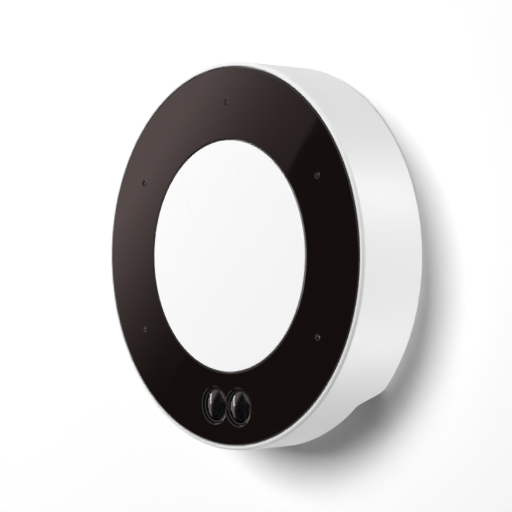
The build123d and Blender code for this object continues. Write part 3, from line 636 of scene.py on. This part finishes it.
class BuildRing(bpy.types.Operator):
    """Builds the glossy black ring"""
    bl_idname = "door_controller.build_ring"
    bl_label = "Black Ring"

    def execute(self, context):
        face, tone = context.scene.controller_face, context.scene.controller_colours
        edges = [circle_edge(face.ring_outer, count=512, outer=True),
                 circle_edge(face.disc_radius + face.ring_gap, count=384)]
        edges += [circle_edge(face.window_radius + GLOSS_GAP, polar(face.window_circle, angle), 24)
                  for angle in WINDOW_ANGLES]
        edges.append(eight_edge(face.eye_radius, LENS_PLACES, 72))
        shell = plate(edges, RING_REAR, BODY_DEPTH, face.ring_bevel, 4)
        make_piece("bezel_ring_gloss", [shell], polished("ring_black", tone.ring),
                   ["bezel_ring"], sharp=6)
        return {"FINISHED"}


class BuildDisc(bpy.types.Operator):
    """Builds the white centre disc with its snap hooks"""
    bl_idname = "door_controller.build_disc"
    bl_label = "Centre Disc"

    def execute(self, context):
        face, tone = context.scene.controller_face, context.scene.controller_colours
        profile = rounded(rectangle(0, face.disc_radius, RING_REAR, BODY_DEPTH),
                          [0, 0.00015, face.disc_round, 0], 5)
        shells = [turned(profile, 384, close=False)] + [self.hook(angle) for angle in HOOK_ANGLES]
        material = moulded("disc_white", tone.disc, roughness=0.24, shade=0.01, grain=900.0, relief=0.05)
        make_piece("centre_disc_cap", shells, material, ["centre_disc"])
        return {"FINISHED"}

    def hook(self, angle):
        """A snap hook: its barbed outline (r, z) is carried across its width and turned to its place."""
        top, catch = RING_REAR + 0.0001, PLATE_REAR - SNUG_GAP
        shoulder = catch - 0.0008
        tip = shoulder - 0.0009
        outline = [(HOOK_INNER, top), (HOOK_INNER, tip), (HOOK_OUTER, tip), (HOOK_BARB, shoulder),
                   (HOOK_BARB, catch), (HOOK_OUTER, catch), (HOOK_OUTER, top)]
        points, faces = bar(outline, -HOOK_HALF_WIDTH, HOOK_HALF_WIDTH)
        return about((points[:, [0, 2, 1]], faces), angle)


class BuildWarningLights(bpy.types.Operator):
    """Builds the figure-eight frame, both lenses and the reflectors behind them"""
    bl_idname = "door_controller.build_warning_lights"
    bl_label = "Warning Lights"

    def execute(self, context):
        face, tone = context.scene.controller_face, context.scene.controller_colours
        ledge = RING_REAR + 0.0005
        surround, dome, cup = self.surround(face, ledge), self.dome(face.lens_radius, ledge), self.cup(face)
        make_piece("eye_bezel_frame", [turned(surround, 80, place) for place in LENS_PLACES],
                   polished("bezel_black", tone.bezel, 0.16), ["eye_bezel"])
        lens = smoked("lens_clear", tone.lens)
        for place, name in zip(LENS_PLACES, ("alarm_lens_left", "alarm_lens_right")):
            make_piece(f"{name}_dome", [turned(dome, 96, place, close=False)], lens, [name])
        chrome = metal("reflector_chrome", (0.82, 0.82, 0.83), 0.08, (60.0, 60.0, 60.0), 0.000002)
        make_piece("alarm_reflector_cups", [turned(cup, 64, place) for place in LENS_PLACES], chrome,
                   ["alarm_reflectors"])
        return {"FINISHED"}

    def surround(self, face, ledge):
        """The frame's profile round one lens: a ledge for the lens inside a rounded rim."""
        top, ledge_inner = -BEZEL_BOX[0].y, 0.0045
        outer, inner = face.eye_radius - SNUG_GAP, face.lens_radius + GLOSS_GAP
        return rounded([(ledge_inner, RING_REAR), (outer, RING_REAR), (outer, top), (inner, top),
                        (inner, ledge), (ledge_inner, ledge)], [0, 0, 0.00012, 0.0003, 0, 0.0001], 4)

    def dome(self, radius, base):
        """The lens's profile: a short edge under a cap whose height is h (1 - (r / R)^2), hollowed slightly
        from behind in the same way."""
        hollow_radius, hollow_depth, chamfer = 0.0042, 0.0004, 0.0001
        edge = base + 0.0005
        crown = -LENS_BOXES[0][0].y - edge
        reach, behind = np.linspace(radius, 0, 25), np.linspace(0, hollow_radius, 12)
        cap = np.column_stack([reach, edge + crown * (1 - (reach / radius) ** 2)])
        hollow = np.column_stack([behind, base + hollow_depth * (1 - (behind / hollow_radius) ** 2)])
        return np.vstack([hollow, [(radius - chamfer, base), (radius, base + chamfer)], cap])

    def cup(self, face):
        """The reflector's profile: its inner wall runs from foot to top as r = foot + (top - foot) t^0.6, and
        its outer wall lies a little further out."""
        low, high = -CUP_BOX[1].y, -CUP_BOX[0].y
        foot, top, thickness = face.cup_foot - 0.0005, 0.0040, 0.00032
        share = np.linspace(0, 1, 14)
        wall = np.column_stack([foot + (top - foot) * share ** 0.6, low + (high - low) * share])
        return np.vstack([wall, wall[::-1] + (thickness, 0.0)])


class BuildWindows(bpy.types.Operator):
    """Builds the five light guides with their domed windows"""
    bl_idname = "door_controller.build_windows"
    bl_label = "Indicator Windows"

    def execute(self, context):
        face = context.scene.controller_face
        profile = self.guide(face.window_radius)
        places = [polar(face.window_circle, angle) for angle in WINDOW_ANGLES]
        shells = [turned(profile, 24, place, close=False) for place in places]
        make_piece("indicator_windows", shells, smoked("pipe_clear", (0.03, 0.03, 0.034), 0.6),
                   ["light_pipes"])
        return {"FINISHED"}

    def guide(self, radius):
        """A guide's profile: a rod with a flange behind the plate, under a cap (r cos a, h sin a)."""
        low, high = -PIPE_BOX[1].y, -PIPE_BOX[0].y
        flange_radius, flange_rear, crown = 0.00145, PLATE_REAR - 0.0006, 0.00018
        cap = np.linspace(0, np.pi / 2, 7)
        dome = np.column_stack([radius * np.cos(cap), high - crown + crown * np.sin(cap)])
        return np.vstack([[(0, low), (radius, low), (radius, flange_rear), (flange_radius, flange_rear),
                           (flange_radius, PLATE_REAR), (radius, PLATE_REAR)], dome])


class BuildScrews(bpy.types.Operator):
    """Builds the cover's and board's screws with cross recesses and threads, and the terminals' slotted
    ones"""
    bl_idname = "door_controller.build_screws"
    bl_label = "Screws"

    def execute(self, context):
        size = context.scene.controller_screws
        steel = metal("screw_steel", (0.60, 0.60, 0.59), 0.28)
        boss_circle = context.scene.controller_housing.boss_circle
        groups = {"cover_screw": [polar(boss_circle, angle) for angle in BOSS_ANGLES],
                  "board_screw": board_screw_places()}
        for name, places in groups.items():
            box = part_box(f"{name}s")
            shells = [shell for place in places for shell in self.housing_screw(size, place, box)]
            make_piece(f"{name}_set", shells, steel, [f"{name}s"], sharp=30)
        for name in ("relay", "sensor"):
            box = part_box(f"{name}_plug_screws")
            shells = [shell for place in self.poles(box) for shell in self.clamp_screw(size, place, box)]
            make_piece(f"{name}_clamp_screws", shells, steel, [f"{name}_plug_screws"],
                       f"{name}_terminal", sharp=30)
        return {"FINISHED"}

    def head(self, edges, front, thickness, bevel, steps):
        """A screw's head that faces the wall: a plate whose z becomes front - z."""
        points, faces = plate(edges, 0.0, thickness, bevel, steps)
        return points * (1, 1, -1) + (0, 0, front), faces

    def housing_screw(self, size, place, box):
        """A pan head with a cross recess on a threaded shank, its head towards the wall."""
        bevel, overlap = 0.0005, 0.0006
        front, end = -box[1].y + size.head_height, -box[0].y
        edges = [circle_edge(size.head_radius, place, 40, outer=True),
                 cross_edge(size.cross_length, size.cross_width, place)]
        shank = threaded(size.shank_radius, size.thread_depth, size.thread_pitch, front - overlap, end, place)
        return [self.head(edges, front, size.head_height, bevel, 4), shank]

    def poles(self, box):
        """The middles of a terminal's six screws, read from their node's box."""
        low, high = box
        solid_radius, count = 0.00135, 6
        reach = (high.x - low.x) / 2 - solid_radius
        middle = (low.x + high.x) / 2
        return [(x, (low.z + high.z) / 2) for x in np.linspace(middle - reach, middle + reach, count)]

    def clamp_screw(self, size, place, box):
        """A slotted cheese head over a round floor and a short shank, its head towards the wall."""
        near, far = -box[1].y, -box[0].y
        slot_half, slot_depth, bevel = 0.00115, 0.0006, 0.0001
        shank_radius, thread_depth, thread_pitch = 0.0008, 0.00018, 0.0006
        x, y = place
        slot = box_edge(x - slot_half, x + slot_half, y - size.clamp_slot, y + size.clamp_slot)
        edges = [circle_edge(size.clamp_radius, place, 32, outer=True), slot]
        floor = turned(rectangle(0, size.clamp_radius, near + 0.0005, near + 0.0012), 32, place, close=False)
        shank = threaded(shank_radius, thread_depth, thread_pitch, near + 0.001, far, place, 16)
        return [self.head(edges, near + slot_depth, slot_depth, bevel, 3), floor, shank]


class BuildButton(bpy.types.Operator):
    """Builds the reset button and the inlet's rounded pin"""
    bl_idname = "door_controller.build_button"
    bl_label = "Reset Button and Inlet Pin"

    def execute(self, context):
        grey = moulded("button_grey", context.scene.controller_colours.button, 0.45, 0.06)
        make_piece("reset_button_cap", [self.upright("reset_button", self.button, 48)], grey,
                   ["reset_button"], "reset_key")
        brass = metal("pin_brass", (0.78, 0.70, 0.52), 0.22)
        make_piece("inlet_pin", [self.upright("power_jack_pin", self.pin, 32)], brass,
                   ["power_jack_pin"])
        return {"FINISHED"}

    def button(self, height):
        """The button's profile: a round cap on a wider flange."""
        radius, flange_radius, flange = 0.002, 0.0028, height - 0.0008
        return rounded([(0, 0), (radius, 0), (radius, flange), (flange_radius, flange),
                        (flange_radius, height), (0, height)], [0, 0.0004, 0, 0.0001, 0.0001, 0], 4)

    def pin(self, height):
        """The pin's profile, rounded at its tip."""
        return rounded(rectangle(0, 0.001, 0, height), [0, 0.0004, 0, 0], 5)

    def upright(self, name, profile, columns):
        """A turned shell stood upright in its node's box: (x, y, z) becomes (x + a, z + b, y + c)."""
        low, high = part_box(name)
        points, faces = turned(profile(high.z - low.z), columns, close=False)
        corner = ((low.x + high.x) / 2, low.z, -(low.y + high.y) / 2)
        return points[:, [0, 2, 1]] + corner, faces


class DressInside(bpy.types.Operator):
    """Gives the board, its parts, the terminals and the plastics behind their finishes"""
    bl_idname = "door_controller.dress_inside"
    bl_label = "Finishes"

    def execute(self, context):
        tone = context.scene.controller_colours
        black = (0.012, 0.012, 0.012)
        plug_green = [c * 1.15 for c in tone.terminal]
        dress(["main_board", "radio_module", "sensor_radio"], circuit("board_green", tone.board))
        dress(["processor", "memory_chips", "relay_drivers", "optocouplers", "regulator", "fuse"],
              moulded("chip_black", (0.014, 0.014, 0.015), 0.5, 0.1))
        dress(["radio_shield"], metal("shield_metal", (0.70, 0.70, 0.69), 0.3))
        dress(["relay_1", "relay_2", "relay_3"], moulded("relay_case", (0.78, 0.78, 0.75), 0.3, 0.03))
        dress(["power_inductor"], moulded("inductor_grey", (0.05, 0.05, 0.053), 0.7, 0.12, 1500.0, 0.6))
        dress(["filter_capacitors"], metal("capacitor_can", (0.76, 0.76, 0.77), 0.25, (60.0, 900.0, 60.0)))
        dress(["alarm_sounder"], moulded("sounder_black", black, 0.55, 0.08))
        dress(["power_jack", "reset_switch"], moulded("connector_black", black, 0.4, 0.08))
        dress(["reset_plunger"], moulded("plunger_black", black, 0.4, 0.08))
        dress(["relay_header", "sensor_header"], moulded("header_green", tone.terminal, 0.45, 0.08))
        dress(["relay_plug", "sensor_plug"], moulded("plug_green", plug_green, 0.4, 0.08))
        dress(["relay_header_pins", "sensor_header_pins", "relay_plug_clamps", "sensor_plug_clamps"],
              metal("contact_metal", (0.78, 0.72, 0.58), 0.3))
        dress(["alarm_leds", "indicator_leds"], moulded("led_white", (0.80, 0.79, 0.70), 0.35, 0.05))
        dress(["rear_cover"], moulded("cover_plastic", tone.cover, 0.55, 0.03, 1700.0, 0.6, 0.00003))
        dress(["wall_bracket"], moulded("bracket_plastic", tone.bracket, 0.6, 0.04, 1500.0, 0.7, 0.00003))
        return {"FINISHED"}


# Stage

class BuildStage(bpy.types.Operator):
    """Sets the wall behind, the floor, the lamps, the card that mirrors see and the camera"""
    bl_idname = "door_controller.build_stage"
    bl_label = "Stage"

    def execute(self, context):
        size = context.scene.controller_stage
        context.scene.view_settings.view_transform = "Standard"
        self.world(context.scene, size.ambient)
        self.wall_and_floor(size.floor_drop)
        target = Vector((0, -BODY_DEPTH / 2, 0))
        away = Vector((np.sin(size.azimuth), -np.cos(size.azimuth), 0))
        key = self.lamp("key_lamp", Vector((-0.50, -1.54, 0.50)), target, 0.95, size.key_power)
        key.visible_glossy = False
        self.lamp("side_lamp", Vector((1.25, 0.75, 0.85)), target, 0.7, size.side_power)
        self.lamp("low_lamp", Vector((0.85, 0.70, -1.00)), target, 0.7, size.low_power)
        self.strip(size.strip_power)
        self.mirrored_card(size, away)
        self.camera(context.scene, target + away * size.distance, target, size.focal_length)
        return {"FINISHED"}

    def world(self, scene, ambient):
        """An even light, seen as plain white by the camera, by mirrors and through glass."""
        white = (1, 1, 1, 1)
        world = bpy.data.worlds.new("studio_light")
        scene.world = world
        world.use_nodes = True
        tree = world.node_tree
        tree.nodes.clear()
        path = node(tree, "ShaderNodeLightPath").outputs
        direct = maths(tree, "MAXIMUM", path["Is Camera Ray"], path["Is Glossy Ray"])
        seen = maths(tree, "MAXIMUM", direct, path["Is Transmission Ray"])
        even = node(tree, "ShaderNodeBackground", {"Color": white, "Strength": ambient})
        plain = node(tree, "ShaderNodeBackground", {"Color": white, "Strength": 1.0})
        both = node(tree, "ShaderNodeMixShader", {0: seen, 1: even.outputs[0], 2: plain.outputs[0]})
        node(tree, "ShaderNodeOutputWorld", {"Surface": both.outputs[0]})

    def sheet(self, name, corners, material):
        """A flat four-sided sheet of the stage."""
        mesh = bpy.data.meshes.new(name)
        mesh.from_pydata(corners, [], [(0, 1, 2, 3)])
        mesh.materials.append(material)
        made = bpy.data.objects.new(name, mesh)
        bpy.context.scene.collection.objects.link(made)
        return made

    def paint(self, name, white, glow):
        """A pale matt paint that is seen from its front only."""
        material, tree, shader, _ = blank_material(name)
        fill(tree, shader, {"Base Color": (white, white, white, 1), "Roughness": 0.9,
                            "Specular IOR Level": 0.0, "Emission Color": (1, 1, 1, 1),
                            "Emission Strength": glow})
        back = node(tree, "ShaderNodeNewGeometry").outputs["Backfacing"]
        clear = node(tree, "ShaderNodeBsdfTransparent")
        both = node(tree, "ShaderNodeMixShader", {0: back, 1: shader.outputs[0], 2: clear.outputs[0]})
        fill(tree, tree.nodes["Material Output"], {"Surface": both.outputs[0]})
        return material

    def wall_and_floor(self, drop):
        """A pale wall and floor that take shadows. The lamps and the even light behind them shine through, so
        the controller's side, rear and underside are lit too. The floor glows a little, as the lamps hardly
        reach it."""
        reach, wall_half, wall_gap = 3.0, 1.2, 0.0002
        wall = [(x, wall_gap, z) for x, z in rectangle(-wall_half, wall_half, -drop, reach)]
        floor = [(x, y, -drop) for x, y in rectangle(-reach, reach, -reach, reach)]
        sheets = (("stage_wall", wall, 0.96, 0.0), ("stage_floor", floor, 0.3, 0.72))
        for name, corners, white, glow in sheets:
            made = self.sheet(name, corners, self.paint(f"{name}_paint", white, glow))
            made.visible_diffuse = False
            made.visible_glossy = False
            made.visible_shadow = False

    def aimed(self, data, place, target):
        """A lamp or camera turned to its target."""
        made = bpy.data.objects.new(data.name, data)
        made.location = place
        made.rotation_euler = (target - place).to_track_quat("-Z", "Y").to_euler()
        bpy.context.scene.collection.objects.link(made)
        return made

    def lamp(self, name, place, target, width, watts):
        """A soft square lamp."""
        light = bpy.data.lights.new(name, "AREA")
        light.shape = "SQUARE"
        light.size = width
        light.energy = watts
        return self.aimed(light, place, target)

    def strip(self, watts):
        """A small leaning lamp that the warning lights mirror as bright points. It lights nothing matt."""
        width, height, lean = 0.05, 0.12, np.radians(20)
        eyes = Vector((0, -BODY_DEPTH, LENS_PLACES[0][1]))
        made = self.lamp("strip_lamp", Vector((-0.446, -0.213, -0.024)), eyes, width, watts)
        made.data.shape = "RECTANGLE"
        made.data.size_y = height
        made.rotation_euler.rotate_axis("Z", lean)
        made.visible_diffuse = False

    def mirrored_card(self, size, away):
        """A card that only mirrors see: dark on one side of a straight line through its middle, and on the
        other a glow of strength s + a h + b d^2, where d is the distance from the line and h the height along
        it, both over the card's reach."""
        start, along_rise, across_rise, brightest = 0.15, 0.1, 0.9, 1.3
        reach = 0.0698
        mirrored = Vector((-away.x, away.y, 0))
        right, up = Vector((-mirrored.y, mirrored.x, 0)), Vector((0, 0, 1))
        along = right * np.cos(size.card_edge) + up * np.sin(size.card_edge)
        across = right * np.sin(size.card_edge) - up * np.cos(size.card_edge)
        middle = Vector((0, -BODY_DEPTH, 0)) + mirrored * size.card_distance
        material, tree, shader, place = blank_material("stage_card")
        offset = node(tree, "ShaderNodeVectorMath", {0: place, 1: middle}, operation="SUBTRACT").outputs[0]
        beside = dot(tree, offset, -across / reach)
        level = maths(tree, "MULTIPLY_ADD", dot(tree, offset, along / reach), along_rise, start)
        glow = maths(tree, "MULTIPLY_ADD", maths(tree, "MULTIPLY", beside, across_rise), beside, level)
        lit = maths(tree, "MULTIPLY", glow, maths(tree, "GREATER_THAN", beside, 0.0))
        strength = node(tree, "ShaderNodeClamp", {"Value": lit, "Max": brightest}).outputs[0]
        fill(tree, shader, {"Base Color": (0, 0, 0, 1), "Specular IOR Level": 0.0,
                            "Emission Color": full(size.card_tint), "Emission Strength": strength})
        corners = [tuple(middle + (along * high + across * side) * size.card_size)
                   for high, side in rectangle(-1.0, 0.3, -0.36, 0.9)]
        card = self.sheet("stage_card", corners, material)
        card.visible_camera = False
        card.visible_diffuse = False
        card.visible_shadow = False
        card.visible_transmission = False

    def camera(self, scene, place, target, focal_length):
        """The camera, level with the controller."""
        data = bpy.data.cameras.new("stage_camera")
        data.lens = focal_length
        scene.camera = self.aimed(data, place, target)


class ControllerPanel(bpy.types.Panel):
    """Lists the controller's pieces"""
    bl_idname = "DOOR_PT_controller"
    bl_label = "Garage Door Controller"
    bl_space_type = "VIEW_3D"
    bl_region_type = "UI"
    bl_category = "Controller"

    def draw(self, context):
        for operator in OPERATORS:
            self.layout.operator(operator.bl_idname)


OPERATORS = (BuildHousing, BuildRing, BuildDisc, BuildWarningLights, BuildWindows, BuildScrews, BuildButton,
             DressInside, BuildStage)
SETTINGS = {
    "controller_housing": HousingSizes,
    "controller_face": FaceSizes,
    "controller_screws": ScrewSizes,
    "controller_colours": FinishColours,
    "controller_stage": StageSettings,
}


def register():
    """Adds the settings, operators and panel."""
    for group in (*SETTINGS.values(), *OPERATORS, ControllerPanel):
        bpy.utils.register_class(group)
    for name, group in SETTINGS.items():
        setattr(bpy.types.Scene, name, bpy.props.PointerProperty(type=group))


def unregister():
    """Takes them away again."""
    for name in SETTINGS:
        delattr(bpy.types.Scene, name)
    for group in (ControllerPanel, *OPERATORS, *SETTINGS.values()):
        bpy.utils.unregister_class(group)


def main():
    """Builds every piece."""
    register()
    bpy.ops.door_controller.build_housing()
    bpy.ops.door_controller.build_ring()
    bpy.ops.door_controller.build_disc()
    bpy.ops.door_controller.build_warning_lights()
    bpy.ops.door_controller.build_windows()
    bpy.ops.door_controller.build_screws()
    bpy.ops.door_controller.build_button()
    bpy.ops.door_controller.dress_inside()
    bpy.ops.door_controller.build_stage()


if __name__ == "__main__":
    main()
